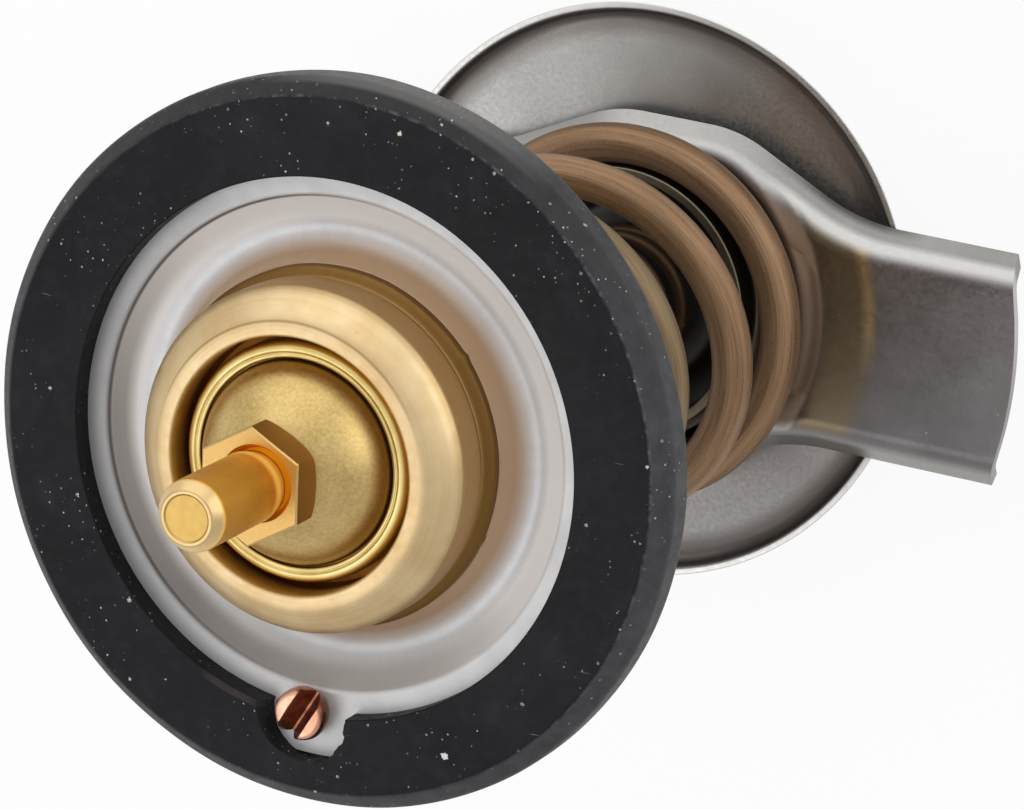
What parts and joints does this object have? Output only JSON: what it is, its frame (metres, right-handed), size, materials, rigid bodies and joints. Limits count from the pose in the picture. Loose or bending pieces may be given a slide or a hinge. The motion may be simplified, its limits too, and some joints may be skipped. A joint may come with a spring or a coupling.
{
  "type": "engine thermostat",
  "caption": "Wax element thermostat insert: rubber edged main valve, brass element and pin, conical spring, winged bridge and sprung bypass disc.",
  "frame": {"origin": "centre of the bypass disc's flat underside, on the valve's axis", "axes": "+Z along the valve's axis towards the piston pin, +X along one wing of the bridge; the vent pin stands on the -Y side"},
  "size_m": [0.0816, 0.067, 0.0955],
  "materials": {
    "bridge_steel": "pressed, satin, faintly mottled",
    "spring_steel": "drawn wire, bronze brown",
    "plate_steel": "pressed, satin",
    "ring_rubber": "moulded, satin, dusty",
    "collar_brass": "turned, satin",
    "cup_brass": "drawn, satin",
    "dome_brass": "stamped, speckled",
    "boot_rubber": "moulded",
    "washer_plastic": "plain",
    "wax": "cast",
    "pin_brass": "turned, smooth",
    "stem_steel": "plain",
    "bypass_spring_steel": "drawn wire, olive tan",
    "disc_steel": "pressed, satin",
    "vent_copper": "headed copper"
  },
  "bodies": {
    "bridge": {"bridge": "bridge_steel", "main_spring": "spring_steel"},
    "valve": {"valve_disc": "plate_steel", "seal_ring": "ring_rubber", "valve_collar": "collar_brass", "element_cup": "cup_brass", "guide_dome": "dome_brass", "piston_boot": "boot_rubber", "boot_washer": "washer_plastic", "wax_charge": "wax", "element_seal": "boot_rubber", "bypass_stem": "stem_steel", "stop_washer": "stem_steel", "stem_clip": "spring_steel", "spring_cap": "stem_steel", "bypass_spring": "bypass_spring_steel"},
    "pin": {"piston_pin": "pin_brass"},
    "bypass": {"bypass_disc": "disc_steel"},
    "vent": {"vent_pin": "vent_copper"}
  },
  "joints": [
    {"name": "valve_slide", "type": "slide", "parent": "bridge", "child": "valve", "axis": [0, 0, 1], "range_m": [-0.009, 0], "stiffness_N_per_m": 5000, "springref_m": 0.012, "deforming": ["main_spring"]},
    {"name": "pin_slide", "type": "slide", "parent": "valve", "child": "pin", "axis": [0, 0, 1], "range_m": [0, 0.009]},
    {"name": "bypass_slide", "type": "slide", "parent": "valve", "child": "bypass", "axis": [0, 0, 1], "range_m": [0, 0.0045], "stiffness_N_per_m": 2000, "springref_m": -0.006, "deforming": ["bypass_spring"]},
    {"name": "vent_slide", "type": "slide", "parent": "valve", "child": "vent", "axis": [0, 0, 1], "range_m": [0, 0.0015]}
  ],
  "couplings": [
    {"joint": "pin_slide", "follows": "valve_slide", "ratio": -1},
    {"joint": "bypass_slide", "follows": "valve_slide", "ratio": -0.5}
  ]
}
